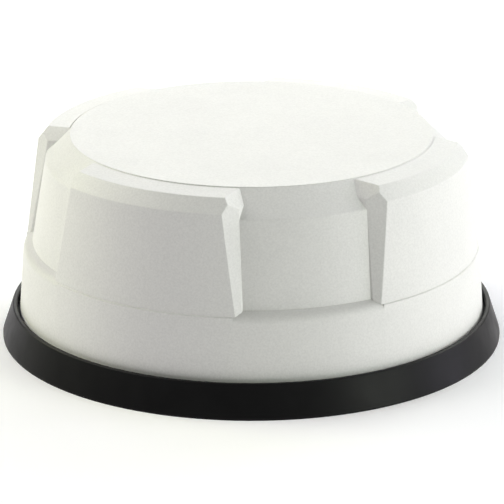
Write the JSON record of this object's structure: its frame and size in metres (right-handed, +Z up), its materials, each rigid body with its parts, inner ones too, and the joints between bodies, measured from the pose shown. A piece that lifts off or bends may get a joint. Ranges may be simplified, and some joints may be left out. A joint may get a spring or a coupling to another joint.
{
  "type": "gnss receiver",
  "caption": "Round survey antenna receiver: white radome with raised grip pads on a flared black skirt, pole thread and bracket holes below, capped connectors behind.",
  "frame": {"origin": "centre of the foot, on the surface the receiver stands on", "axes": "+Z up through the radome, +Y towards the rear connectors, the front recess faces -Y"},
  "size_m": [0.156, 0.156, 0.0645],
  "materials": {
    "white_shell": "fine-textured moulded white",
    "black_skirt": "satin black elastomer",
    "black_plate": "textured black moulding",
    "seal_rubber": "black sealing rubber",
    "steel": "stainless",
    "brass": "machined",
    "nickel": "satin nickel plate",
    "gold_pin": "gold flash",
    "insulator": "black insulator",
    "cap_plastic": "black moulded cap",
    "vent_plastic": "dark grey",
    "membrane": "white porous membrane",
    "window": "smoked black",
    "clear": "clear light pipe",
    "led": "moulded chip",
    "board": "green solder mask",
    "aluminium": "plain sheet",
    "ceramic": "unglazed dielectric",
    "foil": "silvered plating",
    "can": "tinned sheet",
    "chip": "black package",
    "header": "black header",
    "film": "amber film"
  },
  "bodies": {
    "case": {"amplifier_can": "can", "antenna_board": "board", "antenna_link": "gold_pin", "antenna_link_sockets": "gold_pin", "antenna_screws": "steel", "backup_cell": "steel", "base_plate": "black_plate", "base_seal": "seal_rubber", "board_spacers": "brass", "bracket_inserts": "steel", "card_header": "header", "card_screws": "steel", "card_spacers": "brass", "case_screws": "steel", "connector_board": "board", "data_port_gasket": "seal_rubber", "data_port_insert": "insulator", "data_port_nut": "nickel", "data_port_pins": "gold_pin", "data_port_shell": "nickel", "feed_pins": "gold_pin", "ground_plane": "aluminium", "housing_band": "white_shell", "light_bezel": "window", "light_chips": "led", "light_pipes": "clear", "lower_foil": "foil", "lower_patch": "ceramic", "main_board": "board", "pole_insert": "steel", "power_port_gasket": "seal_rubber", "power_port_insert": "insulator", "power_port_nut": "nickel", "power_port_pins": "gold_pin", "power_port_shell": "nickel", "radio_can": "can", "radome": "white_shell", "radome_inserts": "brass", "radome_seal": "seal_rubber", "receiver_can": "can", "receiver_card": "board", "ribbon": "film", "ribbon_socket": "header", "skirt": "black_skirt", "tilt_sensor": "chip", "upper_foil": "foil", "upper_patch": "ceramic", "vent_body": "vent_plastic", "vent_membrane": "membrane"},
    "power_seal": {"power_cap_seal": "seal_rubber"},
    "power_cap": {"power_cap": "cap_plastic"},
    "data_seal": {"data_cap_seal": "seal_rubber"},
    "data_cap": {"data_cap": "cap_plastic"}
  },
  "joints": [
    {"name": "power_cap_travel", "type": "slide", "parent": "case", "child": "power_seal", "axis": [0, 1, 0], "range_m": [0, 0.007]},
    {"name": "power_cap_turn", "type": "hinge", "parent": "power_seal", "child": "power_cap", "pos_m": [-0.015, 0.066, 0.0193], "axis": [0, 1, 0], "range_deg": [0, 2520.5]},
    {"name": "data_cap_travel", "type": "slide", "parent": "case", "child": "data_seal", "axis": [0, 1, 0], "range_m": [0, 0.007]},
    {"name": "data_cap_turn", "type": "hinge", "parent": "data_seal", "child": "data_cap", "pos_m": [0.015, 0.066, 0.0193], "axis": [0, 1, 0], "range_deg": [0, 2520.5]}
  ],
  "couplings": [
    {"joint": "power_cap_turn", "follows": "power_cap_travel", "rad_per_m": 6283.2},
    {"joint": "data_cap_turn", "follows": "data_cap_travel", "rad_per_m": 6283.2}
  ]
}
